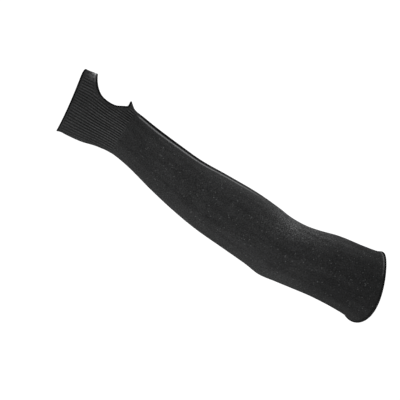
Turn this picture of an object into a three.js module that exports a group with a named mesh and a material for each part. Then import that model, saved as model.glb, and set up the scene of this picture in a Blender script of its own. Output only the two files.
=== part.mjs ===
import * as THREE from 'three';
import { ParametricGeometry } from 'three/addons/geometries/ParametricGeometry.js';

// Knitted compression arm sleeve with a thumb hole, in the form it takes when worn.
// Units are millimetres. +X runs from the hand end to the upper arm end, +Z is the thumb side
// and -Y is the palm side. The origin is the middle of the upper arm opening.

// Driving dimensions
const BODY_WALL = 1.2;
const CUFF_WALL = 1.8;
const GAP = 0.3;
const BINDING_GAP = 0.45;
const HAND_EDGE_X = -483;
const CUFF_END_X = -396;
const ARM_EDGE_X = 0;
const HAND_HEM = { along: 1.2, out: 1.25 };
const ARM_HEM = { along: 1.8, out: 1.3 };
const THUMB_BINDING = { along: 1.1, out: 1.2 };

// Thumb hole as cut in the cuff wall: a squared oval in distance along the sleeve and angle round it,
// the same on the palm side and the back
const THUMB_HOLE = { x: -437.5, halfLength: 31, halfAngle: 65, square: 0.045 };

// Facets
const COLUMNS = 48;
const BODY_ROWS = 20;
const STRIP_ROWS = 2;
const HOLE_ROWS = 16;
const WRIST_ROWS = 2;
const WELT_SIDES = 6;

// One row per section, from the hand edge to the upper arm edge, all to the middle of the wall.
// x, y, z: middle of the section
// lean: degrees the thumb side tips towards the hand
// swing: degrees the palm side tips towards the upper arm
// high, deep: half sizes across the width and through the thickness of the limb
// square: how far the oval is filled out towards a rounded box
// sag: how far the low palm quarter reaches towards the upper arm, out of the section plane
const SECTIONS = [
  { x: -483, y: -34, z: 0.3, lean: 8.5, swing: 10, high: 44.1, deep: 17, square: 0.04, sag: 0 },
  { x: -476, y: -34.2, z: 2.2, lean: 7, swing: 8, high: 43.5, deep: 17.5, square: 0.04, sag: 0 },
  { x: -468, y: -34.5, z: 3.7, lean: 5, swing: 6, high: 44.2, deep: 18, square: 0.04, sag: 0 },
  { x: -443, y: -36, z: 3.6, lean: 3, swing: 2, high: 41.3, deep: 20, square: 0.03, sag: 0 },
  { x: -423, y: -36, z: 4.6, lean: 2, swing: 0, high: 37.2, deep: 21, square: 0.02, sag: 0 },
  { x: -414, y: -35.5, z: 5.3, lean: 1, swing: 0, high: 36.3, deep: 21.5, square: 0.01, sag: 0 },
  { x: -406, y: -35, z: 2.6, lean: 1, swing: 0, high: 32.6, deep: 21.7, square: 0, sag: 0 },
  { x: -393, y: -34, z: 0.8, lean: 0, swing: 0, high: 31.2, deep: 22, square: 0, sag: 0 },
  { x: -368, y: -34, z: -2.2, lean: 0, swing: 0, high: 32.2, deep: 24.5, square: 0, sag: 0 },
  { x: -328, y: -34, z: -8.4, lean: 0, swing: 0, high: 35, deep: 29, square: 0, sag: 0 },
  { x: -288, y: -34, z: -13.5, lean: 0, swing: 0, high: 37.8, deep: 33, square: 0, sag: 0 },
  { x: -248, y: -34, z: -16, lean: 0, swing: 0, high: 40.9, deep: 37, square: 0, sag: 0 },
  { x: -198, y: -34, z: -16.5, lean: 0, swing: 0, high: 43.2, deep: 40, square: 0, sag: 0 },
  { x: -163, y: -33.5, z: -18, lean: 1, swing: 2, high: 43.6, deep: 41, square: 0, sag: 0 },
  { x: -143, y: -31.2, z: -20.2, lean: 2, swing: 6, high: 43.4, deep: 41.5, square: 0, sag: 0 },
  { x: -118, y: -27.2, z: -18.3, lean: 3, swing: 10, high: 42.1, deep: 42, square: 0, sag: 0 },
  { x: -98, y: -23.2, z: -14.4, lean: 4.5, swing: 13, high: 42.5, deep: 43, square: 0, sag: 0 },
  { x: -68, y: -16.4, z: -7.6, lean: 6, swing: 14, high: 44.9, deep: 45, square: 0, sag: 0 },
  { x: -28, y: -6.8, z: -3, lean: 7, swing: 14.5, high: 47, deep: 46.8, square: 0, sag: 1 },
  { x: -9, y: -2.2, z: -1.2, lean: 7, swing: 14.5, high: 49.4, deep: 48.6, square: 0, sag: 2 },
  { x: 0, y: 0, z: 0, lean: 7, swing: 14.5, high: 51.7, deep: 49.7, square: 0, sag: 4 },
];
const FIELDS = ['y', 'z', 'lean', 'swing', 'high', 'deep', 'square', 'sag'];
const profile = new THREE.CubicInterpolant(
  SECTIONS.map((row) => row.x),
  new Float64Array(SECTIONS.flatMap((row) => FIELDS.map((field) => row[field]))),
  FIELDS.length,
);

// Section at a distance along the sleeve, read between the rows of the table
function sectionAt(x) {
  const values = profile.evaluate(x);
  return Object.fromEntries(FIELDS.map((field, index) => [field, values[index]]));
}

// Turn of a section's plane
function turnOf(section) {
  const lean = THREE.MathUtils.degToRad(section.lean);
  const swing = THREE.MathUtils.degToRad(section.swing);
  return new THREE.Euler(0, -lean, swing, 'ZYX');
}

// Oval of half sizes 1, filled out towards a rounded box
function squaredOval(angle, square) {
  return {
    across: (Math.cos(angle) - square * Math.cos(3 * angle)) / (1 - square),
    through: (Math.sin(angle) + square * Math.sin(3 * angle)) / (1 - square),
  };
}

// Point of the sleeve: an oval in the section plane, its angle counted from the thumb side
// towards the palm side, moved outwards from the middle of the wall
function sleevePoint(x, angle, outwards) {
  const section = sectionAt(x);
  const { high, deep, square, sag } = section;
  const { across, through } = squaredOval(angle, square);
  const point = new THREE.Vector3(
    -sag * Math.sin(2 * angle),
    -(deep + outwards) * through,
    (high + outwards) * across,
  );
  return point.applyEuler(turnOf(section)).add(new THREE.Vector3(x, section.y, section.z));
}

// Small step for slopes taken from the difference of two near points
const STEP = 1e-3;

// How the wall runs on for each millimetre along the sleeve
function alongAt(x, angle) {
  return sleevePoint(x + STEP, angle, 0).sub(sleevePoint(x - STEP, angle, 0)).divideScalar(2 * STEP);
}

// Direction straight out of the wall
function outwardAt(x, angle) {
  const round = sleevePoint(x, angle + STEP, 0).sub(sleevePoint(x, angle - STEP, 0));
  return round.cross(alongAt(x, angle)).normalize();
}

// Closed wall over rows along the sleeve. Each row runs round the section from one angle to another;
// a row that falls short of a full turn leaves the sleeve open there, and its two lips are closed.
function wallGeometry(rows, thickness) {
  const points = [];
  for (const outwards of [thickness / 2, -thickness / 2]) {
    for (const row of rows) {
      for (let column = 0; column <= COLUMNS; column += 1) {
        const angle = THREE.MathUtils.lerp(row.from, row.to, column / COLUMNS);
        points.push(...sleevePoint(row.x, angle, outwards));
      }
    }
  }
  const outer = (row, column) => row * (COLUMNS + 1) + column;
  const inner = (row, column) => outer(row + rows.length, column);
  const triangles = [];
  const quad = (a, b, c, d) => triangles.push(a, b, c, a, c, d);
  const last = rows.length - 1;
  for (let column = 0; column < COLUMNS; column += 1) {
    const next = column + 1;
    for (let row = 0; row < last; row += 1) {
      quad(outer(row, column), outer(row, next), outer(row + 1, next), outer(row + 1, column));
      quad(inner(row, column), inner(row + 1, column), inner(row + 1, next), inner(row, next));
    }
    quad(outer(0, column), inner(0, column), inner(0, next), outer(0, next));
    quad(outer(last, column), outer(last, next), inner(last, next), inner(last, column));
  }
  const slit = rows.map((row) => row.open === true);
  for (let row = 0; row < last; row += 1) {
    if (slit[row] || slit[row + 1]) {
      quad(outer(row, 0), outer(row + 1, 0), inner(row + 1, 0), inner(row, 0));
      quad(outer(row, COLUMNS), inner(row, COLUMNS), inner(row + 1, COLUMNS), outer(row + 1, COLUMNS));
    }
  }
  const geometry = new THREE.BufferGeometry();
  geometry.setAttribute('position', new THREE.Float32BufferAttribute(points, 3));
  geometry.setIndex(triangles);
  return geometry;
}

// Evenly spread full rows from one distance along the sleeve to another
function fullRows(start, end, count) {
  return Array.from({ length: count + 1 }, (_, row) => ({
    x: THREE.MathUtils.lerp(start, end, row / count),
    from: 0,
    to: 2 * Math.PI,
  }));
}

// Edge of the thumb hole in the wall: distance along the sleeve and angle round it.
// The first half of the turn is the palm lip and the second half the back lip.
const holeHalfAngle = THREE.MathUtils.degToRad(THUMB_HOLE.halfAngle);
function holeEdge(turn) {
  const { across, through } = squaredOval(2 * Math.PI * turn, THUMB_HOLE.square);
  return { x: THUMB_HOLE.x - THUMB_HOLE.halfLength * across, angle: holeHalfAngle * through };
}

// Rolled edge: an oval bead carried round a closed path that gives its middle, the direction
// along the cloth and the direction out of the cloth
function weltGeometry(path, size, segments) {
  const bead = (side, turn, target) => {
    const { middle, along, out } = path(turn);
    target.copy(middle);
    target.addScaledVector(along, size.along * Math.cos(2 * Math.PI * side));
    target.addScaledVector(out, size.out * Math.sin(2 * Math.PI * side));
  };
  return new ParametricGeometry(bead, WELT_SIDES, segments);
}

// Path of a hem round the whole section
const hemPath = (x) => (turn) => {
  const angle = 2 * Math.PI * turn;
  return {
    middle: sleevePoint(x, angle, 0),
    along: alongAt(x, angle),
    out: outwardAt(x, angle),
  };
};

// Path of the binding, just inside the hole
function bindingPath(turn) {
  const edge = holeEdge(turn);
  const before = holeEdge(turn - STEP);
  const after = holeEdge(turn + STEP);
  const out = outwardAt(edge.x, edge.angle);
  const tangent = sleevePoint(after.x, after.angle, 0).sub(sleevePoint(before.x, before.angle, 0)).normalize();
  const along = out.clone().cross(tangent).normalize();
  const middle = sleevePoint(edge.x, edge.angle, 0).addScaledVector(along, BINDING_GAP + THUMB_BINDING.along);
  return { middle, along, out };
}

// Rows of the two walls
const cuffStart = HAND_EDGE_X + 2 * HAND_HEM.along + GAP;
const holeStart = THUMB_HOLE.x - THUMB_HOLE.halfLength;
const holeEnd = THUMB_HOLE.x + THUMB_HOLE.halfLength;
const holeRows = Array.from({ length: HOLE_ROWS - 1 }, (_, row) => {
  const edge = holeEdge((row + 1) / (2 * HOLE_ROWS));
  return { x: edge.x, from: edge.angle, to: 2 * Math.PI - edge.angle, open: true };
});
const cuffRows = [
  ...fullRows(cuffStart, holeStart, STRIP_ROWS),
  ...holeRows,
  ...fullRows(holeEnd, CUFF_END_X - GAP / 2, WRIST_ROWS),
];
const bodyRows = fullRows(CUFF_END_X + GAP / 2, ARM_EDGE_X - 2 * ARM_HEM.along - GAP, BODY_ROWS);

const PARTS = [
  { name: 'sleeve_body', colour: 0x2b2b2c, roughness: 0.9, geometry: wallGeometry(bodyRows, BODY_WALL) },
  { name: 'hand_cuff', colour: 0x2a2a2b, roughness: 0.9, geometry: wallGeometry(cuffRows, CUFF_WALL) },
  {
    name: 'hand_hem',
    colour: 0x1a1a1b,
    roughness: 0.95,
    geometry: weltGeometry(hemPath(HAND_EDGE_X + HAND_HEM.along), HAND_HEM, COLUMNS),
  },
  {
    name: 'thumb_binding',
    colour: 0x1a1a1b,
    roughness: 0.95,
    geometry: weltGeometry(bindingPath, THUMB_BINDING, 2 * HOLE_ROWS),
  },
  {
    name: 'arm_hem',
    colour: 0x1a1a1b,
    roughness: 0.95,
    geometry: weltGeometry(hemPath(ARM_EDGE_X - ARM_HEM.along), ARM_HEM, COLUMNS),
  },
];

const sleeve = new THREE.Group();
sleeve.name = 'compression_arm_sleeve';
for (const part of PARTS) {
  const material = new THREE.MeshStandardMaterial({ color: part.colour, roughness: part.roughness, metalness: 0 });
  const mesh = new THREE.Mesh(part.geometry, material);
  mesh.name = part.name;
  sleeve.add(mesh);
}

export default sleeve;
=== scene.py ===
"""Compression arm sleeve in its worn shape: plain knit body, ribbed cuff with a thumb hole, rolled edges.

Every piece follows one formula for the sleeve, with x along it and an angle round it. The pieces are worked
out in millimetres, and the stage in metres. A pair of numbers named for a range of x, of degrees from the
thumb side or of a distance is where a smooth step starts and where it is full, in that order.
"""
import math

import bpy
import numpy as np
from mathutils import Matrix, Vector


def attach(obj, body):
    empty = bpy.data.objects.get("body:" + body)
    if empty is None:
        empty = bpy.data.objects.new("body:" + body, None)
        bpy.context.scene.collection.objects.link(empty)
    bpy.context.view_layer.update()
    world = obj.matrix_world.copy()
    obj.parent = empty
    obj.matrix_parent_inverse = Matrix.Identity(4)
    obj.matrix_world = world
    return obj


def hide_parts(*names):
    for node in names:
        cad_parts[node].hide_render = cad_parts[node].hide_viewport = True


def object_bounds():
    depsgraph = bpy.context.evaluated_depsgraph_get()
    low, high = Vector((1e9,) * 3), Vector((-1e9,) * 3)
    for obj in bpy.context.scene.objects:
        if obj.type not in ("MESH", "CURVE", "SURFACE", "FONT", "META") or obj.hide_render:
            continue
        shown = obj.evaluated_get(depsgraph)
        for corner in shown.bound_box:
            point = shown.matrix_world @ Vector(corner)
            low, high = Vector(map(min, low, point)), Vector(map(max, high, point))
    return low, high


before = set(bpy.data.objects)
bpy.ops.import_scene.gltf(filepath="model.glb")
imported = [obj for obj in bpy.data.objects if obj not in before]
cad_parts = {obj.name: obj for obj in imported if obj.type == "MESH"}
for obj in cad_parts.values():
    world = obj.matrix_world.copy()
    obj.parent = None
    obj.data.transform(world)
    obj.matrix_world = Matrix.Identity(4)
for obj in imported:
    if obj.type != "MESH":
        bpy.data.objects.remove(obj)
cad_box = [list(corner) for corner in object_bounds()]

MM = 0.001
FULL_TURN = 2 * np.pi
SLOPE_STEP = 1e-3

# Sections of the sleeve to the middle of its wall: place along it, middle across and up, lean and swing
# of the section in degrees, half height, half depth, squareness, and sag of the edge along the sleeve
SECTIONS = np.array([
    (-483, -34, 0.6, 8.5, 10, 45.6, 17, 0.04, 0),
    (-476, -34.2, 2.2, 7, 8, 45.3, 17.5, 0.04, 0),
    (-468, -34.5, 3.2, 5, 6, 45.7, 18, 0.04, 0),
    (-443, -36, 3.2, 3, 2, 42.5, 20, 0.03, 0),
    (-423, -36, 4.1, 2, 0, 38.1, 21, 0.02, 0),
    (-414, -35.5, 4.7, 1, 0, 37.2, 21.5, 0.01, 0),
    (-406, -35, 2.4, 1, 0, 33.7, 21.7, 0, 0),
    (-393, -34, 1, 0, 0, 32.3, 22, 0, 0),
    (-368, -34, -2.4, 0, 0, 32.5, 24.5, 0, 0),
    (-328, -34, -8.8, 0, 0, 35.5, 29, 0, 0),
    (-288, -34, -13.9, 0, 0, 38.3, 33, 0, 0),
    (-248, -34, -15.7, 0, 0, 42, 37, 0, 0),
    (-198, -34, -16.4, 0, 0, 44.1, 40, 0, 0),
    (-163, -33.5, -18.4, 1, 2, 44.1, 41, 0, 0),
    (-143, -31.2, -20.5, 2, 6, 44.3, 41.5, 0, 0),
    (-118, -27.2, -18, 3, 10, 43.1, 42, 0, 0),
    (-98, -23.2, -14.3, 4.5, 13, 43.5, 43, 0, 0),
    (-68, -16.4, -7.8, 6, 14, 45.5, 45, 0, 0),
    (-28, -6.8, -3, 7, 14.5, 47.7, 46.8, 0, 1.1),
    (-9, -2.2, -1.2, 7, 14.9, 49.9, 48.6, 0, 2.3),
    (0, 0, -0.7, 7, 15.7, 52.5, 49.7, 0, 4.5),
])
BODY_WALL = 1.2
CUFF_WALL = 1.8
HAND_EDGE_X = -483
WRIST_X = -396
ARM_EDGE_X = 0

# Half sizes of the rolled edges, along the cloth and out of it, how far out they are flat against the
# cloth, as a share of the first, and the gap at every seam
HAND_HEM = (1.2, 1.25)
ARM_HEM = (1.8, 1.3)
THUMB_BINDING = (1.45, 1.2)
EDGE_FLAT = 0.8
SEAM_GAP = 0.02

# Thumb hole: a squared oval in x and angle
HOLE_X = -437.5
HOLE_HALF_LENGTH = 31
HOLE_HALF_ANGLE = np.radians(64.4)
HOLE_SQUARENESS = 0.045

# Bow of the hand edge, with the squared cosine at which it crosses its line, and the draw of its corner
BOW_START_X = -460
EDGE_BOW = 1.8
BOW_LEVEL = 0.25
CORNER_DRAW = 2.6
CORNER_WIDTH = np.radians(26)

# Lip that stands up at the wrist end of the thumb hole
LIP_X = HOLE_X + HOLE_HALF_LENGTH
LIP_RISE = 4.5
LIP_LEAN = 3.2
LIP_WIDTH = np.radians(22)
LIP_LENGTH = 3


def smooth_step(low, high, value):
    """0 below low, 1 above high, and 3t^2 - 2t^3 between them; low may be above high."""
    t = np.clip((value - low) / (high - low), 0, 1)
    return t * t * (3 - 2 * t)


def between(rise, fall, value):
    """Product of two smooth steps, one that comes in over a range and one that goes out over another."""
    return smooth_step(*rise, value) * smooth_step(*fall, value)


def bell(value, width):
    """Bell curve: e to the power of minus the square of the value over the width."""
    return np.exp(-((value / width) ** 2))


def section_at(x):
    """Section values at x: a cubic over each span of SECTIONS, whose slope at a row is the mean of the
    straight slopes on its two sides, and at an end row the slope of the end span."""
    place = SECTIONS[:, 0]
    value = SECTIONS[:, 1:]
    straight = np.diff(value, axis=0) / np.diff(place)[:, None]
    slope = np.concatenate((straight[:1], (straight[1:] + straight[:-1]) / 2, straight[-1:]))
    row = np.clip(np.searchsorted(place, x, side="right") - 1, 0, len(place) - 2)
    span = (place[row + 1] - place[row])[..., None]
    t = (x[..., None] - place[row][..., None]) / span
    rise = t * t * (3 - 2 * t)
    leave = t * (1 - t) ** 2 * span
    arrive = -t * t * (1 - t) * span
    mixed = value[row] * (1 - rise) + value[row + 1] * rise + slope[row] * leave + slope[row + 1] * arrive
    return np.moveaxis(mixed, -1, 0)


def half_sizes_at(x):
    """Half height and half depth of the section at x, which are the fifth and sixth of its values."""
    return section_at(x)[4:6]


def squared_oval(angle, square):
    """Oval of half sizes 1, filled out towards a rounded box by a little of its third harmonic."""
    across = (np.cos(angle) - square * np.cos(3 * angle)) / (1 - square)
    through = (np.sin(angle) + square * np.sin(3 * angle)) / (1 - square)
    return across, through


def near_thumb_side(angle, width):
    """Bell curve of the angle about the thumb side, where the angle is 0 or a full turn."""
    return bell(2 * np.sin(angle / 2), width)


def sleeve_point(x, angle, out, pulled=1):
    """Point of the sleeve: a squared oval of half sizes high and deep, moved out from the middle of the
    wall, leaned about Y, swung about Z and set on the middle line. The angle is counted from the thumb
    side (up) towards the palm side. Where it is pulled out of shape, the hand edge bows by a squared
    cosine and is drawn back at its upper corner by a bell curve, and another bell curve lifts a lip at the
    wrist end of the thumb hole, which leans towards the hand edge."""
    x, angle, out = np.broadcast_arrays(*(np.asarray(value, float) for value in (x, angle, out)))
    y, z, lean, swing, high, deep, square, sag = section_at(x)
    lean = np.radians(lean)
    swing = np.radians(swing)
    across, through = squared_oval(angle, square)
    to_edge = pulled * smooth_step(BOW_START_X, HAND_EDGE_X, x)
    bow = EDGE_BOW * (BOW_LEVEL - np.cos(angle) ** 2) + CORNER_DRAW * near_thumb_side(angle, CORNER_WIDTH)
    lip = pulled * near_thumb_side(angle, LIP_WIDTH) * bell(x - LIP_X, LIP_LENGTH)
    along = to_edge * bow - LIP_LEAN * lip - sag * np.sin(2 * angle)
    side = -(deep + out) * through
    up = (high + out + LIP_RISE * lip) * across
    leaned = along * np.cos(lean) - up * np.sin(lean)
    raised = along * np.sin(lean) + up * np.cos(lean)
    return np.stack((
        x + leaned * np.cos(swing) - side * np.sin(swing),
        y + leaned * np.sin(swing) + side * np.cos(swing),
        z + raised,
    ), axis=-1)


def wall_run(x, angle):
    """How the middle of the wall runs on for each millimetre along the sleeve."""
    after = sleeve_point(x + SLOPE_STEP, angle, 0)
    before = sleeve_point(x - SLOPE_STEP, angle, 0)
    return (after - before) / (2 * SLOPE_STEP)


def unit(vectors):
    """Vectors divided by their lengths."""
    return vectors / np.linalg.norm(vectors, axis=-1, keepdims=True)


def wall_outward(x, angle):
    """Direction straight out of the wall: the run round it crossed with the run along it."""
    round_run = sleeve_point(x, angle + SLOPE_STEP, 0) - sleeve_point(x, angle - SLOPE_STEP, 0)
    return unit(np.cross(round_run, wall_run(x, angle)))


def round_share(x, angle):
    """Share of the way round a section, near enough by arc length: for an oval the arc is the angle less
    half its flatness times the sine of twice the angle."""
    high, deep = half_sizes_at(x)
    flatness = (high - deep) / (high + deep)
    return (angle - flatness / 2 * np.sin(2 * angle)) / FULL_TURN


# Meshes

SHARP_ANGLE = math.radians(50)


def add_piece(name, node, corners, weld, points, knit_uv, masks, material):
    """Mesh from quads of grid corners: weld maps each corner to the corner whose vertex it shares, points
    and masks hold a value for each corner, and knit_uv is the corner's place in the knit."""
    used, vertex = np.unique(weld[corners], return_inverse=True)
    mesh = bpy.data.meshes.new(name)
    mesh.vertices.add(len(used))
    mesh.vertices.foreach_set("co", (points[used] * MM).astype(np.float32).ravel())
    mesh.loops.add(corners.size)
    mesh.loops.foreach_set("vertex_index", vertex.astype(np.int32).ravel())
    mesh.polygons.add(len(corners))
    mesh.polygons.foreach_set("loop_start", np.arange(0, corners.size, 4, dtype=np.int32))
    mesh.update(calc_edges=True)
    mesh.polygons.foreach_set("use_smooth", np.ones(len(corners), dtype=bool))
    uv_map = mesh.uv_layers.new(name="knit")
    uv_map.data.foreach_set("uv", knit_uv[corners].astype(np.float32).ravel())
    for mask_name, mask in masks.items():
        attribute = mesh.attributes.new(mask_name, "FLOAT", "POINT")
        attribute.data.foreach_set("value", mask[used].astype(np.float32))
    mesh.set_sharp_from_angle(angle=SHARP_ANGLE)
    mesh.materials.append(material)
    piece = bpy.data.objects.new(name, mesh)
    bpy.context.scene.collection.objects.link(piece)
    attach(piece, "root")
    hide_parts(node)
    return piece


def skin_quads(grid):
    """Quads between the neighbouring rows and columns of a grid of corners, facing outwards."""
    return np.stack((grid[:-1, :-1], grid[:-1, 1:], grid[1:, 1:], grid[1:, :-1]), axis=-1)


def rim(outer_line, inner_line):
    """Quads between two lines of corners, facing the side that the wall is not on."""
    return np.stack((outer_line[:-1], inner_line[:-1], inner_line[1:], outer_line[1:]), axis=-1)


def wall_corners(rows, columns, window=None):
    """Quads of a wall with an outer and an inner skin and its two end rims, as corners of a grid of 2 skins
    by rows by columns, whose last column is the first one again. A window, given as its first and last row
    and the columns on its two sides, leaves out the cells about the seam, and gets rims of its own.
    Returns the quads and the weld."""
    grid = np.arange(2 * rows * columns).reshape(2, rows, columns)
    kept = np.ones((rows - 1, columns - 1), dtype=bool)
    rims = [rim(*grid[:, 0]), rim(*grid[:, -1, ::-1])]
    if window:
        first_row, last_row, left, right = window
        kept[first_row:last_row, :left] = False
        kept[first_row:last_row, right:] = False
        side = grid[:, first_row:last_row + 1]
        rims += [rim(*side[:, ::-1, left]), rim(*side[:, :, right])]
        rims += [rim(*grid[:, first_row, left::-1]), rim(*grid[:, first_row, :right - 1:-1])]
        rims += [rim(*grid[:, last_row, :left + 1]), rim(*grid[:, last_row, right:])]
    outer_quads = skin_quads(grid[0])[kept]
    inner_quads = skin_quads(grid[1])[kept][:, [0, 3, 2, 1]]
    weld = grid.copy()
    weld[:, :, -1] = grid[:, :, 0]
    return np.concatenate([outer_quads, inner_quads, *rims]), weld.ravel()


def both_skins(outer, inner):
    """Grids of the outer and the inner skin laid out flat, one after the other."""
    return np.concatenate((outer.reshape(-1, *outer.shape[2:]), inner.reshape(-1, *inner.shape[2:])))


def outer_skin(mask):
    """Mask that is nothing on the inner skin."""
    return both_skins(mask, np.zeros_like(mask))


# Node building

def feed(tree, socket, value):
    """Links a socket to another one, or sets its number."""
    if isinstance(value, bpy.types.NodeSocket):
        tree.links.new(value, socket)
    else:
        socket.default_value = value


def add_node(tree, kind, **settings):
    """New node of a kind with its settings."""
    node = tree.nodes.new(kind)
    for setting, value in settings.items():
        setattr(node, setting, value)
    return node


def calc(tree, operation, *values):
    """Math node on sockets or numbers; returns its result."""
    node = add_node(tree, "ShaderNodeMath", operation=operation)
    for socket, value in zip(node.inputs, values):
        feed(tree, socket, value)
    return node.outputs["Value"]


def remap(tree, value, given, wanted):
    """Smooth change of a value from the given range to the wanted one, held at its ends."""
    node = add_node(tree, "ShaderNodeMapRange", interpolation_type="SMOOTHSTEP")
    for socket, number in zip(node.inputs, (value, *given, *wanted)):
        feed(tree, socket, number)
    return node.outputs["Result"]


def noise(tree, place, scale, detail):
    """Noise value between 0 and 1 at a place."""
    node = add_node(tree, "ShaderNodeTexNoise")
    feed(tree, node.inputs["Vector"], place)
    node.inputs["Scale"].default_value = scale
    node.inputs["Detail"].default_value = detail
    return node.outputs["Fac"]


def new_group(name, inputs, outputs):
    """Empty shader node group with its named sockets; returns the tree and its two end nodes."""
    tree = bpy.data.node_groups.new(name, "ShaderNodeTree")
    for label, kind in inputs:
        tree.interface.new_socket(label, in_out="INPUT", socket_type=kind)
    for label in outputs:
        tree.interface.new_socket(label, in_out="OUTPUT", socket_type="NodeSocketFloat")
    return tree, tree.nodes.new("NodeGroupInput"), tree.nodes.new("NodeGroupOutput")


# Knit loops and yarn, shared by all the cloth

# How far along the courses a leg of a loop leans, and how much its height waves
LEG_LEAN = 0.6
LEG_WAVE = 0.35

# Noise of the dye, of the grain and of the mottling for each metre, and of the streaks for each wale and
# course; stray fibres are a share of the cells, also for each metre
DYE_SCALE = 28.0
GRAIN_SCALE = 700.0
MOTTLE_SCALE = 300.0
STREAK_SCALE = (0.16, 0.012, 1.0)
FIBRE_CELLS = 520.0
FIBRE_SHARE = 0.14


def build_knit_loops():
    """Height of plain knit: each wale is two legs that lean to a V, so the height is the leg's arch across
    half a wale times a wave along it, shifted by how far the leg has leaned."""
    tree, given, result = new_group("knit_loops", [("Loops", "NodeSocketVector")], ["Height"])
    parts = add_node(tree, "ShaderNodeSeparateXYZ")
    feed(tree, parts.inputs[0], given.outputs["Loops"])
    wale = calc(tree, "FRACT", parts.outputs["X"])
    half = calc(tree, "ABSOLUTE", calc(tree, "MULTIPLY_ADD", wale, 2.0, -1.0))
    arch = calc(tree, "SINE", calc(tree, "MULTIPLY", half, math.pi))
    course = calc(tree, "MULTIPLY_ADD", half, LEG_LEAN, parts.outputs["Y"])
    wave = calc(tree, "COSINE", calc(tree, "MULTIPLY", course, 2 * math.pi))
    strand = calc(tree, "MULTIPLY_ADD", wave, LEG_WAVE, 1 - LEG_WAVE)
    feed(tree, result.inputs["Height"], calc(tree, "MULTIPLY", arch, strand))
    return tree


def build_yarn_tone():
    """Tone of dyed yarn: slow unevenness of the dye, faint streaks along the wales, fine grain from stitch
    to stitch, soft mottling a few stitches wide, and stray light fibres, which are the middles of a few
    cells of a Voronoi pattern."""
    tree, given, result = new_group(
        "yarn_tone",
        [("Place", "NodeSocketVector"), ("Loops", "NodeSocketVector"), ("Fibre share", "NodeSocketFloat")],
        ["Shade", "Mottle", "Fibre"],
    )
    place = given.outputs["Place"]
    along_wales = add_node(tree, "ShaderNodeMapping")
    feed(tree, along_wales.inputs["Vector"], given.outputs["Loops"])
    along_wales.inputs["Scale"].default_value = STREAK_SCALE
    dye_noise = noise(tree, place, DYE_SCALE, detail=2.0)
    streak_noise = noise(tree, along_wales.outputs["Vector"], 1.0, detail=2.0)
    grain_noise = noise(tree, place, GRAIN_SCALE, detail=2.0)
    mottle_noise = noise(tree, place, MOTTLE_SCALE, detail=1.0)
    dye = remap(tree, dye_noise, given=(0.3, 0.7), wanted=(0.92, 1.08))
    streak = remap(tree, streak_noise, given=(0.3, 0.7), wanted=(0.9, 1.1))
    grain = remap(tree, grain_noise, given=(0.25, 0.75), wanted=(0.6, 1.4))
    mottle = remap(tree, mottle_noise, given=(0.42, 0.66), wanted=(0.15, 2.2))
    feed(tree, result.inputs["Shade"], calc(tree, "MULTIPLY", calc(tree, "MULTIPLY", dye, streak), grain))
    feed(tree, result.inputs["Mottle"], mottle)
    cells = add_node(tree, "ShaderNodeTexVoronoi")
    feed(tree, cells.inputs["Vector"], place)
    cells.inputs["Scale"].default_value = FIBRE_CELLS
    pick = add_node(tree, "ShaderNodeSeparateXYZ")
    feed(tree, pick.inputs[0], cells.outputs["Color"])
    chosen = calc(tree, "LESS_THAN", pick.outputs["X"], given.outputs["Fibre share"])
    near = remap(tree, cells.outputs["Distance"], given=(0.2, 0.5), wanted=(1.0, 0.0))
    strength = calc(tree, "MULTIPLY", near, pick.outputs["Y"])
    feed(tree, result.inputs["Fibre"], calc(tree, "MULTIPLY", chosen, strength))
    return tree


knit_loops = build_knit_loops()
yarn_tone = build_yarn_tone()


# Cloth materials

# Share of the light that the yarn gives back, and what places along the sleeve add to it: stray fibres, and
# painted highlights and painted sheen
BLACK_YARN = 0.0242
EDGE_THREAD = 0.3 * BLACK_YARN
PALE_FIBRE = 0.06
CUFF_FIBRE = 0.3 * PALE_FIBRE
CREST_HIGHLIGHT = 0.13
HEM_LINE_HIGHLIGHT = 0.075
PATCH_LIGHT = 0.017
HOLE_HIGHLIGHT = 0.16
BINDING_GLINT = 0.2
YARN_TINT = (0.98, 0.99, 1.0, 1)

# Share of its tone that the yarn gains or loses in places, where light and shade are painted
UPPER_ARM_SHADE_CHANGE = -0.3
PAINTED_LIGHT_CHANGE = 0.62
BAND_SHADOW_CHANGE = -0.97
RIB_SHADE_CHANGE = 0.8
LIT_SIDE_GAIN = 1.0

# Painted shade between the loops and between the wraps of an edge, and the painted light that their tops
# gain
LOOP_FOOT_SHADE = 0.7
LOOP_TOP_HIGHLIGHT = 0.6
WRAP_FOOT_SHADE = 0.4
WRAP_TOP_HIGHLIGHT = 0.9
SPECKLE_POWER = 5.0
HOLE_HIGHLIGHT_EVENNESS = 0.5

# Roughness between the loops, what their tops and stray fibres take off it, and the rise of a fibre as a
# share of the loops' height
YARN_ROUGHNESS = 0.98
TOP_SMOOTHNESS = 0.1
FIBRE_SMOOTHNESS = 0.15
FIBRE_RISE = 0.5
SPECULAR_LEVEL = 0.005
SHEEN_ROUGHNESS = 0.45


def place_group(tree, group, **values):
    """Puts a group into a material and feeds its inputs, named with underscores for spaces."""
    node = add_node(tree, "ShaderNodeGroup", node_tree=group)
    for label, value in values.items():
        feed(tree, node.inputs[label.replace("_", " ")], value)
    return node.outputs


def read_mask(tree, name):
    """Value of one of the piece's own masks."""
    return add_node(tree, "ShaderNodeAttribute", attribute_name=name).outputs["Fac"]


def change_by(tree, value, mask, share):
    """Value that gains this share of itself where the mask is 1, or loses it where the share is negative."""
    return calc(tree, "MULTIPLY", value, calc(tree, "MULTIPLY_ADD", read_mask(tree, mask), share, 1.0))


def add_by(tree, value, mask, amount, grain):
    """Value with an amount added where the mask is 1, broken up by a grain."""
    grained = calc(tree, "MULTIPLY", read_mask(tree, mask), grain)
    return calc(tree, "MULTIPLY_ADD", grained, amount, value)


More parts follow.
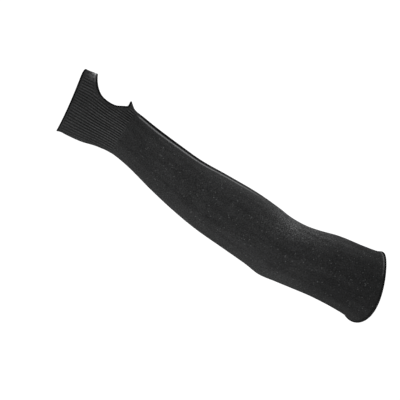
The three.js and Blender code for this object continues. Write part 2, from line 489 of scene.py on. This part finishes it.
def knit_roughness(tree, tone, loops):
    """Rough between the loops, a little smoother on their tops and on stray fibres."""
    on_loops = calc(tree, "MULTIPLY_ADD", loops, -TOP_SMOOTHNESS, YARN_ROUGHNESS)
    return calc(tree, "MULTIPLY_ADD", tone["Fibre"], -FIBRE_SMOOTHNESS, on_loops)


def knit_height(tree, tone, loops):
    """Loops, with stray fibres standing a little proud."""
    return calc(tree, "MULTIPLY_ADD", tone["Fibre"], FIBRE_RISE, loops)


def plain_reflectance(tree, tone, loops):
    """Black yarn in its uneven tone, with painted shade between the loops and painted light in places."""
    shade = calc(tree, "MULTIPLY", tone["Shade"], BLACK_YARN)
    depth_shade = calc(tree, "MULTIPLY_ADD", loops, LOOP_TOP_HIGHLIGHT, LOOP_FOOT_SHADE)
    return change_by(tree, calc(tree, "MULTIPLY", shade, depth_shade), "painted_light", PAINTED_LIGHT_CHANGE)


def body_reflectance(tree, tone, loops):
    """Plain knit: painted shade on the upper arm, a speckled painted sheen at the inner elbow, stray pale
    fibres, a painted highlight on the line beside the arm hem, and a painted highlight on the pressed crest
    along the forearm with a painted shadow on the band behind it."""
    upper_arm_shade = change_by(tree, plain_reflectance(tree, tone, loops), "upper_arm_shade", UPPER_ARM_SHADE_CHANGE)
    speckle = calc(tree, "POWER", tone["Shade"], SPECKLE_POWER)
    patch_lit = add_by(tree, upper_arm_shade, "light_patch", PATCH_LIGHT, speckle)
    fibred = add_by(tree, patch_lit, "flecked", PALE_FIBRE, tone["Fibre"])
    banded = change_by(tree, fibred, "shadow_band", BAND_SHADOW_CHANGE)
    lined = add_by(tree, banded, "hem_line", HEM_LINE_HIGHLIGHT, tone["Shade"])
    return add_by(tree, lined, "crest", CREST_HIGHLIGHT, tone["Shade"])


def cuff_reflectance(tree, tone, loops):
    """Rib knit: painted highlight on the ribs and painted shade in the grooves, a few stray fibres, mottled
    painted light on the strip between the hand edge and the thumb hole, and a brighter painted highlight
    beside the hole there."""
    rib_shaded = change_by(tree, plain_reflectance(tree, tone, loops), "rib_shade", RIB_SHADE_CHANGE)
    fibred = calc(tree, "MULTIPLY_ADD", tone["Fibre"], CUFF_FIBRE, rib_shaded)
    patch_lit = add_by(tree, fibred, "light_patch", PATCH_LIGHT, tone["Mottle"])
    highlight_grain = calc(tree, "ADD", tone["Mottle"], HOLE_HIGHLIGHT_EVENNESS)
    return add_by(tree, patch_lit, "hole_highlight", HOLE_HIGHLIGHT, highlight_grain)


def edge_reflectance(tree, tone, loops):
    """Rolled edge: deeper black thread, painted shade between its wraps, painted light on one side of the
    arm hem, and a painted highlight on the binding at the strip before the thumb hole."""
    wrap = read_mask(tree, "wrap")
    shade = calc(tree, "MULTIPLY", tone["Shade"], EDGE_THREAD)
    lit_side = change_by(tree, shade, "lit_side", LIT_SIDE_GAIN)
    depth_shade = calc(tree, "MULTIPLY_ADD", wrap, WRAP_TOP_HIGHLIGHT, WRAP_FOOT_SHADE)
    return add_by(tree, calc(tree, "MULTIPLY", lit_side, depth_shade), "glint", BINDING_GLINT, wrap)


def cloth_material(name, reflectance, sheen, bump_depth):
    """Cloth: reflectance, how much light comes back, is a function that is given the material's tree, the
    tone of the yarn and the height of the loops."""
    material = bpy.data.materials.new(name)
    material.use_nodes = True
    tree = material.node_tree
    shader = tree.nodes["Principled BSDF"]
    shader.inputs["Specular IOR Level"].default_value = SPECULAR_LEVEL
    shader.inputs["Sheen Weight"].default_value = sheen
    shader.inputs["Sheen Roughness"].default_value = SHEEN_ROUGHNESS
    place = add_node(tree, "ShaderNodeTexCoord").outputs["Object"]
    uv_map = add_node(tree, "ShaderNodeUVMap", uv_map="knit").outputs["UV"]
    loops = place_group(tree, knit_loops, Loops=uv_map)["Height"]
    tone = place_group(tree, yarn_tone, Place=place, Loops=uv_map, Fibre_share=FIBRE_SHARE)
    tint = add_node(tree, "ShaderNodeMix", data_type="RGBA")
    feed(tree, tint.inputs["Factor"], reflectance(tree, tone, loops))
    tint.inputs["A"].default_value = (0, 0, 0, 1)
    tint.inputs["B"].default_value = YARN_TINT
    feed(tree, shader.inputs["Base Color"], tint.outputs["Result"])
    feed(tree, shader.inputs["Roughness"], knit_roughness(tree, tone, loops))
    bump = add_node(tree, "ShaderNodeBump")
    bump.inputs["Strength"].default_value = 1.0
    bump.inputs["Distance"].default_value = bump_depth * MM
    feed(tree, bump.inputs["Height"], knit_height(tree, tone, loops))
    feed(tree, shader.inputs["Normal"], bump.outputs["Normal"])
    return material


plain_knit = cloth_material("plain_knit", body_reflectance, sheen=0.015, bump_depth=0.12)
rib_knit = cloth_material("rib_knit", cuff_reflectance, sheen=0.015, bump_depth=0.15)
rolled_edge = cloth_material("rolled_edge", edge_reflectance, sheen=0.0, bump_depth=0.08)


# Plain knit body

# Rows along the body, with finer ones beside the arm hem, columns and wales round it, and a course's length
BODY_ROWS = 126
FINE_ROWS_X = -14
FINE_ROWS = 15
BODY_COLUMNS = 260
BODY_WALES = 200
COURSE = 1.0

# Crease along the forearm, and how much the columns crowd towards it
CREASE_X = (-396, -360, -320, -280, -250, -200, 0)
CREASE_ANGLE = np.radians((27.5, 31, 28.6, 27.5, 25, 23, 15))
CREASE_CROWDING = 0.7

# Crest pressed along the crease, with a painted highlight, and the band behind it with a painted shadow,
# which begins and ends across the crease too
CREST_WIDTH = 1.3
CREST_RELIEF = 0.35
CREST_START_X = (-396, -388)
CREST_END_X = (-170, -250)
BAND_NEAR = (-0.8, -2.0)
BAND_FAR = (-18, -5)
BAND_START_X = (-396, -386)
BAND_END_X = (-175, -330)
BAND_RELIEF = 0.85

# Line beside the arm hem, with a painted highlight
HEM_LINE_FROM_END = 1.6
HEM_LINE_WIDTH = 1.0
HEM_LINE_RELIEF = 0.25
HEM_LINE_DEGREES = (68, 35)

# Patch of painted sheen at the inner elbow, whose palm side edge slants by degrees for each millimetre
ELBOW_X = -121
PATCH_LENGTH = 42
PATCH_EDGE = 58
PATCH_SLANT = 0.28
PATCH_BLUR = 15
BACK_DEGREES = (-60, -15)

# Painted rim light on the thumb side, which eases towards the arm hem, and painted light on the underside,
# most at the point of the elbow
RIM_LIGHT_DEGREES = (74, 10)
RIM_LIGHT_START_X = (-300, -258)
RIM_LIGHT_EASE_X = (-70, 0)
RIM_LIGHT_EASE = 0.5
UNDERSIDE_DEGREES = (112, 160)
UNDERSIDE_LIGHT = 0.6
ELBOW_POINT_X = -133
ELBOW_POINT_LENGTH = 32
ELBOW_POINT_LIGHT = 0.4

# Painted shade on the upper arm, and stray fibres, which are few beside the wrist
UPPER_ARM_SHADE_X = (-150, -30)
FLECKED_X = (-390, -345)
FEW_FLECKS = 0.25


def body_masks(x, angle, crest, shadow_band, hem_line):
    """Masks of the body's tone, which paint its shade, shadow, sheen and highlights: the crest, the band and
    the line beside the hem, and products of smooth steps of x and of the degrees from the thumb side, with
    bell curves of x about the elbow."""
    degrees = np.degrees(np.mod(angle + np.pi, FULL_TURN) - np.pi)
    off_back = smooth_step(*BACK_DEGREES, degrees)
    patch_edge = PATCH_EDGE - PATCH_SLANT * (x - ELBOW_X)
    patch = smooth_step(patch_edge + PATCH_BLUR, patch_edge - PATCH_BLUR, degrees) * off_back
    painted_light = smooth_step(*RIM_LIGHT_DEGREES, degrees) * off_back * smooth_step(*RIM_LIGHT_START_X, x)
    painted_light = painted_light * (1 - RIM_LIGHT_EASE * smooth_step(*RIM_LIGHT_EASE_X, x))
    below = UNDERSIDE_LIGHT + ELBOW_POINT_LIGHT * bell(x - ELBOW_POINT_X, ELBOW_POINT_LENGTH)
    below = below * smooth_step(*UNDERSIDE_DEGREES, np.abs(degrees))
    return {
        "crest": outer_skin(crest),
        "shadow_band": outer_skin(shadow_band),
        "hem_line": outer_skin(hem_line * smooth_step(*HEM_LINE_DEGREES, np.abs(degrees))),
        "flecked": outer_skin(FEW_FLECKS + (1 - FEW_FLECKS) * smooth_step(*FLECKED_X, x)),
        "light_patch": outer_skin(patch * bell(x - ELBOW_X, PATCH_LENGTH)),
        "upper_arm_shade": outer_skin(smooth_step(*UPPER_ARM_SHADE_X, x)),
        "painted_light": outer_skin(painted_light + below),
    }


def make_sleeve_body():
    """Wall of two skins. Columns are counted from the crease and crowded towards it by a sine. The outer
    skin carries a crest, which is a bell curve across the crease, a band that stands a little proud behind
    it, between smooth steps, and a low line beside the arm hem, another bell curve."""
    start = WRIST_X + SEAM_GAP / 2
    end = ARM_EDGE_X - (1 + EDGE_FLAT) * ARM_HEM[0] - SEAM_GAP
    x = np.concatenate((
        np.linspace(start, FINE_ROWS_X, BODY_ROWS),
        np.linspace(FINE_ROWS_X, end, FINE_ROWS)[1:],
    ))[:, None]
    share = np.linspace(0, 1, BODY_COLUMNS + 1)[None, :]
    from_crease = FULL_TURN * share - CREASE_CROWDING * np.sin(FULL_TURN * share)
    angle = np.interp(x, CREASE_X, CREASE_ANGLE) + from_crease
    x = np.broadcast_to(x, angle.shape)
    high, deep = half_sizes_at(x)
    round_rate = np.hypot(high * np.sin(angle), deep * np.cos(angle))
    past_crease = (np.mod(from_crease + np.pi, FULL_TURN) - np.pi) * round_rate
    crest = bell(past_crease, CREST_WIDTH) * between(CREST_START_X, CREST_END_X, x)
    shadow_band = between(BAND_NEAR, BAND_FAR, past_crease) * between(BAND_START_X, BAND_END_X, x)
    hem_line = bell(x - end + HEM_LINE_FROM_END, HEM_LINE_WIDTH)
    relief = CREST_RELIEF * crest + BAND_RELIEF * shadow_band + HEM_LINE_RELIEF * hem_line
    outer = sleeve_point(x, angle, BODY_WALL / 2 + relief)
    inner = sleeve_point(x, angle, -BODY_WALL / 2)
    masks = body_masks(x, angle, crest, shadow_band, hem_line)
    knit_uv = np.stack((BODY_WALES * round_share(x, angle), x / COURSE), axis=-1)
    corners, weld = wall_corners(*x.shape)
    return add_piece(
        "plain_knit_body", "sleeve_body",
        corners, weld, both_skins(outer, inner), both_skins(knit_uv, knit_uv), masks, plain_knit,
    )


# Ribbed cuff

# Rows on the strip before the hole, beside the hole and up to the wrist; columns over half the hole and
# round the palm and back; the hole's corner, as a share of a turn round its edge, and points to reach it
STRIP_ROWS = 11
HOLE_ROWS = 40
WRIST_ROWS = 14
THUMB_COLUMNS = 78
PALM_COLUMNS = 404
HOLE_CORNER_TURN = 0.125
HOLE_END_POINTS = 60

# Ribs round the cuff, their depth, and the flatness of the section that they are spread over
RIBS = 64
RIB_DEPTH = 0.5
RIB_FLATNESS = 0.42

# Middle line of the ribs, with its height at one place and its fall, and their half height, with its taper
RIB_LINE_X = -440
RIB_LINE_HEIGHT = 8.5
RIB_LINE_FALL = 0.035
RIB_HALF_HEIGHT = 55
RIB_TAPER = 12
RIB_TAPER_X = (-485, -395)

# Sink of the ribs below the hole, and their fall towards the hem, both fuller the higher they are
RIB_SINK = 1.1
RIB_SINK_X = -433
RIB_SINK_LENGTH = 20
RIB_SINK_HEIGHT = (-45, 25)
RIB_FALL = 4
RIB_FALL_X = (-455, -485)
RIB_FALL_HEIGHT = (-15, 35)

# Straight ribs for each radian, where the thumb side and the underside have them
STRAIGHT_RIBS = 8.3
STRAIGHT_BELOW_DEGREES = (150, 168)
STRAIGHT_ABOVE_DEGREES = (30, 12)

# Where the ribs come in: past the hem, before the wrist line and round the hole; what the strip takes off
RIBS_FROM_HEM = (0.8, 3.8)
RIBS_FROM_WRIST = (0.5, 3)
RIBS_FROM_HOLE = (0.5, 5)
STRIP_RIB_LOSS = 0.75
WRIST_TAPER = (5, 0)

# Strength of the ribs' painted highlight and painted shade: less towards the hand edge and on the underside
HAND_RIB_SHADE = 0.68
HAND_RIB_X = (-480, -430)
UNDERSIDE_RIB_SHADE_LOSS = 0.5
UNDERSIDE_RIB_DEGREES = (115, 150)

# Painted light on the palm side, which starts at more degrees the nearer the hand edge is
PALM_LIGHT = 0.4
PALM_LIGHT_DEGREES = (85, 125)
PALM_LIGHT_SLANT = 0.5

# Strip before the hole, with painted light, and the wide and narrow painted highlight beside the hole there
STRIP_DEGREES = (58, 28)
STRIP_X = (-456, -462)
LIGHT_PATCH_FROM_HOLE = (16, 6)
HOLE_HIGHLIGHT_DEGREES = (50, 25)
WIDE_HIGHLIGHT = 0.35
WIDE_HIGHLIGHT_FROM_HOLE = (9, 3)
NARROW_HIGHLIGHT = 0.65
NARROW_HIGHLIGHT_FROM_HOLE = (3.4, 1.2)

# Power of the oval that measures how far the cloth is from the hole, and the hole's half width on the cloth
HOLE_POWER = 2.7
HOLE_HALF_WIDTH = 43


def hole_edge(turn):
    """Edge of the thumb hole in x and angle, a squared oval: its palm side, then its back."""
    across, through = squared_oval(FULL_TURN * turn, HOLE_SQUARENESS)
    return HOLE_X - HOLE_HALF_LENGTH * across, HOLE_HALF_ANGLE * through


def beyond_hole(x, from_thumb_side):
    """How far the cloth is from the hole's edge, near enough: the reach of a powered oval from the hole's
    middle, less 1, times the root mean square of the hole's half sizes."""
    along = np.abs((x - HOLE_X) / HOLE_HALF_LENGTH)
    across = from_thumb_side / HOLE_HALF_ANGLE
    reach = (along ** HOLE_POWER + across ** HOLE_POWER) ** (1 / HOLE_POWER)
    return (reach - 1) * np.hypot(HOLE_HALF_LENGTH, HOLE_HALF_WIDTH) / np.sqrt(2)


def rib_phase(x, angle):
    """Place among the ribs, which cross the palm and the back in lines: the arc cosine of the height over
    their middle line, as a share of an even half height that tapers to the wrist, less a sine of twice it
    that keeps the ribs alike in width. They sink a little below the thumb hole, whose edge cuts them, and
    fall off above the palm towards the hem."""
    point = sleeve_point(x, angle, 0, pulled=0)
    place = point[..., 0]
    height = point[..., 2]
    sink = RIB_SINK * bell(place - RIB_SINK_X, RIB_SINK_LENGTH) * smooth_step(*RIB_SINK_HEIGHT, height)
    fall = RIB_FALL * smooth_step(*RIB_FALL_X, place) * smooth_step(*RIB_FALL_HEIGHT, height)
    middle = RIB_LINE_HEIGHT - RIB_LINE_FALL * (place - RIB_LINE_X)
    even_half = RIB_HALF_HEIGHT - RIB_TAPER * smooth_step(*RIB_TAPER_X, place)
    turn = np.arccos((height - middle + sink + fall) / even_half)
    return RIBS * (turn - RIB_FLATNESS / 2 * np.sin(2 * turn)) / FULL_TURN


def rib_wave(phase, from_thumb_side):
    """1 on the ribs and -1 in the grooves: a cosine of the rib phase, which gives way to a cosine of the
    angle along the thumb side and the underside."""
    degrees = np.degrees(from_thumb_side)
    straight = smooth_step(*STRAIGHT_BELOW_DEGREES, degrees) + smooth_step(*STRAIGHT_ABOVE_DEGREES, degrees)
    straight_wave = np.cos(FULL_TURN * STRAIGHT_RIBS * (from_thumb_side - np.pi))
    return (1 - straight) * np.cos(FULL_TURN * phase) + straight * straight_wave


def cuff_grid(start, end):
    """Rows and columns of the cuff in x and angle, and its window. The window's corners are where the
    hole's edge turns most. Rows before and after it bend to its ends, and columns beside it to its sides."""
    corner_angle = hole_edge(HOLE_CORNER_TURN)[1]
    even = np.concatenate((
        np.linspace(0, corner_angle, THUMB_COLUMNS + 1)[:-1],
        np.linspace(corner_angle, FULL_TURN - corner_angle, PALM_COLUMNS + 1)[:-1],
        np.linspace(FULL_TURN - corner_angle, FULL_TURN, THUMB_COLUMNS + 1),
    ))[None, :]
    from_thumb_side = np.minimum(even, FULL_TURN - even)
    column = np.arange(even.size)
    over_hole = (column < THUMB_COLUMNS) | (column > THUMB_COLUMNS + PALM_COLUMNS)
    end_turn = np.linspace(0, HOLE_CORNER_TURN, HOLE_END_POINTS)
    front_x, end_angle = hole_edge(end_turn)
    front = np.interp(from_thumb_side, end_angle, front_x)
    back = np.interp(from_thumb_side, end_angle, hole_edge(0.5 - end_turn)[0])
    side_turn = np.linspace(HOLE_CORNER_TURN, 0.5 - HOLE_CORNER_TURN, HOLE_ROWS)[:, None]
    side_x, side_angle = hole_edge(side_turn)
    side_share = (side_x - side_x[0]) / np.ptp(side_x)
    strip_share = np.linspace(0, 1, STRIP_ROWS)[:, None]
    wrist_share = np.linspace(0, 1, WRIST_ROWS)[:, None]
    beside = np.where(over_hole, front + (back - front) * side_share, side_x)
    x = np.concatenate((
        start + (front - start) * strip_share,
        beside[1:-1],
        back + (end - back) * wrist_share,
    ))
    half = np.full((len(x), 1), corner_angle)
    half[STRIP_ROWS:STRIP_ROWS + HOLE_ROWS - 2] = side_angle[1:-1]
    angle = np.where(over_hole, even, np.pi + (even - np.pi) * (np.pi - half) / (np.pi - corner_angle))
    window = (STRIP_ROWS - 1, STRIP_ROWS + HOLE_ROWS - 2, THUMB_COLUMNS, THUMB_COLUMNS + PALM_COLUMNS)
    return x, angle, window


def make_hand_cuff():
    """Wall of two skins with the thumb hole left open. The outer skin is sunk between the ribs by their
    wave, which fades at the hem, round the hole, on the strip before it and at the wrist line, where the
    wall thins to the body's."""
    start = HAND_EDGE_X + (1 + EDGE_FLAT) * HAND_HEM[0] + SEAM_GAP
    end = WRIST_X - SEAM_GAP / 2
    x, angle, window = cuff_grid(start, end)
    from_thumb_side = np.minimum(angle, FULL_TURN - angle)
    degrees = np.degrees(from_thumb_side)
    from_hole = beyond_hole(x, from_thumb_side)
    on_strip = smooth_step(*STRIP_DEGREES, degrees) * smooth_step(*STRIP_X, x)
    phase = rib_phase(x, angle)
    wave = rib_wave(phase, from_thumb_side)
    shown = smooth_step(*RIBS_FROM_HEM, x - start) * smooth_step(*RIBS_FROM_WRIST, end - x)
    shown = shown * smooth_step(*RIBS_FROM_HOLE, from_hole) * (1 - STRIP_RIB_LOSS * on_strip)
    thinned = (CUFF_WALL - BODY_WALL) / 2 * smooth_step(*WRIST_TAPER, end - x)
    outer = sleeve_point(x, angle, CUFF_WALL / 2 - RIB_DEPTH * (1 - wave) / 2 * shown - thinned)
    inner = sleeve_point(x, angle, -CUFF_WALL / 2 + thinned)
    # Masks that paint light and shade: the ribs' highlight and shade, light on the palm side and on the
    # strip, and a highlight beside the hole
    rib_shade_strength = HAND_RIB_SHADE + (1 - HAND_RIB_SHADE) * smooth_step(*HAND_RIB_X, x)
    rib_shade_strength = rib_shade_strength * (1 - UNDERSIDE_RIB_SHADE_LOSS * smooth_step(*UNDERSIDE_RIB_DEGREES, degrees))
    painted_light = PALM_LIGHT * smooth_step(*PALM_LIGHT_DEGREES, degrees + PALM_LIGHT_SLANT * (x - HAND_EDGE_X))
    wide_highlight = WIDE_HIGHLIGHT * smooth_step(*WIDE_HIGHLIGHT_FROM_HOLE, from_hole)
    narrow_highlight = NARROW_HIGHLIGHT * smooth_step(*NARROW_HIGHLIGHT_FROM_HOLE, from_hole)
    hole_highlight = (wide_highlight + narrow_highlight) * smooth_step(*HOLE_HIGHLIGHT_DEGREES, degrees) * on_strip
    masks = {
        "painted_light": outer_skin(painted_light),
        "rib_shade": outer_skin(wave * shown * rib_shade_strength),
        "light_patch": outer_skin(on_strip * smooth_step(*LIGHT_PATCH_FROM_HOLE, from_hole)),
        "hole_highlight": outer_skin(hole_highlight),
    }
    outer_uv = np.stack((2 * phase, x / COURSE), axis=-1)
    inner_uv = np.stack((2 * RIBS * round_share(x, angle), x / COURSE), axis=-1)
    corners, weld = wall_corners(*x.shape, window)
    return add_piece(
        "rib_knit_cuff", "hand_cuff",
        corners, weld, both_skins(outer, inner), both_skins(outer_uv, inner_uv), masks, rib_knit,
    )


# Rolled edges

# Sides of the bead, columns for each wrap of thread, wraps round each edge, power of the bead's oval, how
# much it sinks between the wraps, and loops of the thread over the bead
BEAD_SIDES = 16
WRAP_COLUMNS = 6
HAND_WRAPS = 130
ARM_WRAPS = 190
THUMB_WRAPS = 84
BEAD_POWER = 2.6
WRAP_RELIEF = 0.08
BEAD_LOOPS = 4
# Share of a turn from the start over which the painted light on one side of a hem comes in
LIT_SIDE_TURN = (0.15, 0.4)


def make_rolled_edge(name, node, wraps, path, half_sizes, cloth_side, glint_turn=None, lit_side=0):
    """Bead carried round a closed path: a powered oval whose size swells and sinks with the wraps of
    thread, which lean as they go over the edge. It is cut flat on the side of the cloth, which is 1 or -1
    along it. A painted highlight may lie on the thread about the start of the path, by a bell curve of this
    share of a turn, and painted light of this strength on the side across from the start."""
    turn = np.linspace(0, 1, wraps * WRAP_COLUMNS + 1)
    side = np.linspace(0, 1, BEAD_SIDES + 1)[None, :]
    middle, along, out = (vectors[:, None, :] for vectors in path(turn))
    cosine = np.cos(FULL_TURN * side)
    sine = np.sin(FULL_TURN * side)
    oval = (np.abs(cosine) ** BEAD_POWER + np.abs(sine) ** BEAD_POWER) ** (-1 / BEAD_POWER)
    wrap = 0.5 + 0.5 * np.cos(FULL_TURN * (wraps * turn[:, None] + side))
    size = oval * (1 - WRAP_RELIEF * (1 - wrap))
    flat_reach = cloth_side * np.minimum(cloth_side * size * cosine, EDGE_FLAT)
    half_along, half_out = half_sizes
    points = middle + half_along * flat_reach[..., None] * along + half_out * (size * sine)[..., None] * out
    grid = np.arange(wrap.size).reshape(wrap.shape)
    weld = grid.copy()
    weld[-1, :] = weld[0, :]
    weld[:, -1] = weld[:, 0]
    knit_uv = np.stack(np.broadcast_arrays(wraps * turn[:, None], BEAD_LOOPS * side), axis=-1)
    from_start = np.minimum(turn, 1 - turn)[:, None]
    glint = bell(from_start, glint_turn) if glint_turn else 0
    masks = {
        "wrap": wrap.ravel(),
        "glint": np.broadcast_to(glint, wrap.shape).ravel(),
        "lit_side": np.broadcast_to(lit_side * smooth_step(*LIT_SIDE_TURN, from_start), wrap.shape).ravel(),
    }
    return add_piece(
        name, node, skin_quads(grid).reshape(-1, 4),
        weld.ravel(), points.reshape(-1, 3), knit_uv.reshape(-1, 2), masks, rolled_edge,
    )


def hem_path(x):
    """Path of a hem round the whole section at x."""
    def path(turn):
        angle = FULL_TURN * turn
        place = np.full_like(turn, x)
        return sleeve_point(place, angle, 0), wall_run(place, angle), wall_outward(place, angle)
    return path


def binding_path(turn):
    """Path of the binding, just inside the hole: the hole's edge moved along the cloth into the hole."""
    x, angle = hole_edge(turn)
    out = wall_outward(x, angle)
    after = sleeve_point(*hole_edge(turn + SLOPE_STEP), 0)
    before = sleeve_point(*hole_edge(turn - SLOPE_STEP), 0)
    along = unit(np.cross(out, after - before))
    return sleeve_point(x, angle, 0) + (SEAM_GAP + EDGE_FLAT * THUMB_BINDING[0]) * along, along, out


body = make_sleeve_body()
cuff = make_hand_cuff()
hand_hem = make_rolled_edge(
    "rolled_hand_hem", "hand_hem", HAND_WRAPS, hem_path(HAND_EDGE_X + HAND_HEM[0]), HAND_HEM, cloth_side=1,
)
# The arm hem has painted light towards its underside.
arm_hem = make_rolled_edge(
    "rolled_arm_hem", "arm_hem", ARM_WRAPS, hem_path(ARM_EDGE_X - ARM_HEM[0]), ARM_HEM, cloth_side=-1,
    lit_side=1.2,
)
# The binding has a painted highlight about the start of its path, beside the strip.
binding = make_rolled_edge(
    "rolled_thumb_binding", "thumb_binding", THUMB_WRAPS, binding_path, THUMB_BINDING, cloth_side=-1,
    glint_turn=0.05,
)


# Stage: floor, camera and light

FLOOR_DROP = 1.0
FLOOR_RADIUS = 2.0
FLOOR_MIDDLE_RADIUS = 0.05
FLOOR_RINGS = 9
FLOOR_SIDES = 96

CAMERA_PLACE = np.array((-261.8, -1318.4, -21.7)) * MM
CAMERA_ROLL = math.radians(32)
CAMERA_RIGHT = np.array((math.cos(CAMERA_ROLL), 0, math.sin(CAMERA_ROLL)))
CAMERA_UP = np.array((-math.sin(CAMERA_ROLL), 0, math.cos(CAMERA_ROLL)))
CAMERA_BACK = np.array((0, -1, 0))
CAMERA_LENS = 85
CAMERA_SENSOR = 36

SLEEVE_MIDDLE = np.array((-0.25, -0.03, -0.01))
LIGHT_TILT = 0.3
SURROUND_LIGHT = 0.6
SURROUND_SEEN = 1.1


def make_floor():
    """Round pale floor: rings of equal width about the middle of the sleeve, below it."""
    low, high = (np.array(corner) for corner in cad_box)
    middle = (low + high) / 2
    radius = np.linspace(FLOOR_MIDDLE_RADIUS, FLOOR_RADIUS, FLOOR_RINGS)[:, None]
    angle = np.linspace(0, FULL_TURN, FLOOR_SIDES, endpoint=False)[None, :]
    ring = np.stack(np.broadcast_arrays(
        middle[0] + radius * np.cos(angle),
        middle[1] + radius * np.sin(angle),
        low[2] - FLOOR_DROP,
    ), axis=-1)
    index = np.arange(FLOOR_RINGS * FLOOR_SIDES).reshape(FLOOR_RINGS, FLOOR_SIDES)
    after = np.roll(index, -1, axis=1)
    quads = np.stack((index[:-1], index[1:], after[1:], after[:-1]), axis=-1).reshape(-1, 4)
    mesh = bpy.data.meshes.new("floor")
    mesh.from_pydata(ring.reshape(-1, 3).tolist(), [], quads.tolist() + [index[0].tolist()])
    material = bpy.data.materials.new("floor_white")
    material.use_nodes = True
    shader = material.node_tree.nodes["Principled BSDF"]
    shader.inputs["Base Color"].default_value = (0.93, 0.93, 0.93, 1)
    shader.inputs["Roughness"].default_value = 0.9
    shader.inputs["Emission Color"].default_value = (1, 1, 1, 1)
    shader.inputs["Emission Strength"].default_value = 0.2
    mesh.materials.append(material)
    floor = bpy.data.objects.new("floor", mesh)
    bpy.context.scene.collection.objects.link(floor)


def facing(place, right, up, back):
    """Matrix of an object at a place whose own axes are these directions."""
    matrix = np.eye(4)
    matrix[:3, :4] = np.stack((right, up, back, place), axis=1)
    return Matrix(matrix.tolist())


def make_camera():
    """Camera at the photograph's viewing angle, rolled about its own axis."""
    data = bpy.data.cameras.new("camera")
    data.lens = CAMERA_LENS
    data.sensor_width = CAMERA_SENSOR
    camera = bpy.data.objects.new("camera", data)
    camera.matrix_world = facing(CAMERA_PLACE, CAMERA_RIGHT, CAMERA_UP, CAMERA_BACK)
    bpy.context.scene.collection.objects.link(camera)
    bpy.context.scene.camera = camera


def make_light(name, right, up, back, size, power):
    """Square soft light, placed right, up and back as the camera sees it from the middle of the sleeve,
    and turned to face it."""
    away = right * CAMERA_RIGHT + up * CAMERA_UP + back * CAMERA_BACK
    data = bpy.data.lights.new(name, "AREA")
    data.size = size
    data.energy = power
    light = bpy.data.objects.new(name, data)
    beam = unit(away)
    across = unit(np.cross(CAMERA_UP + LIGHT_TILT * CAMERA_RIGHT, beam))
    light.matrix_world = facing(SLEEVE_MIDDLE + away, across, np.cross(beam, across), beam)
    bpy.context.scene.collection.objects.link(light)


def make_world():
    """White surround: full white to the camera, dimmer as a light."""
    world = bpy.data.worlds.new("white_surround")
    world.use_nodes = True
    tree = world.node_tree
    background = tree.nodes["Background"]
    background.inputs["Color"].default_value = (1, 1, 1, 1)
    seen = add_node(tree, "ShaderNodeLightPath").outputs["Is Camera Ray"]
    strength = calc(tree, "MULTIPLY_ADD", seen, SURROUND_SEEN - SURROUND_LIGHT, SURROUND_LIGHT)
    feed(tree, background.inputs["Strength"], strength)
    bpy.context.scene.world = world


make_floor()
make_camera()
make_light("front_softbox", right=-0.2, up=0.1, back=1.6, size=1.4, power=14)
make_light("top_softbox", right=0.5, up=1.2, back=-0.5, size=0.8, power=14)
make_world()
bpy.context.scene.view_settings.view_transform = "Standard"
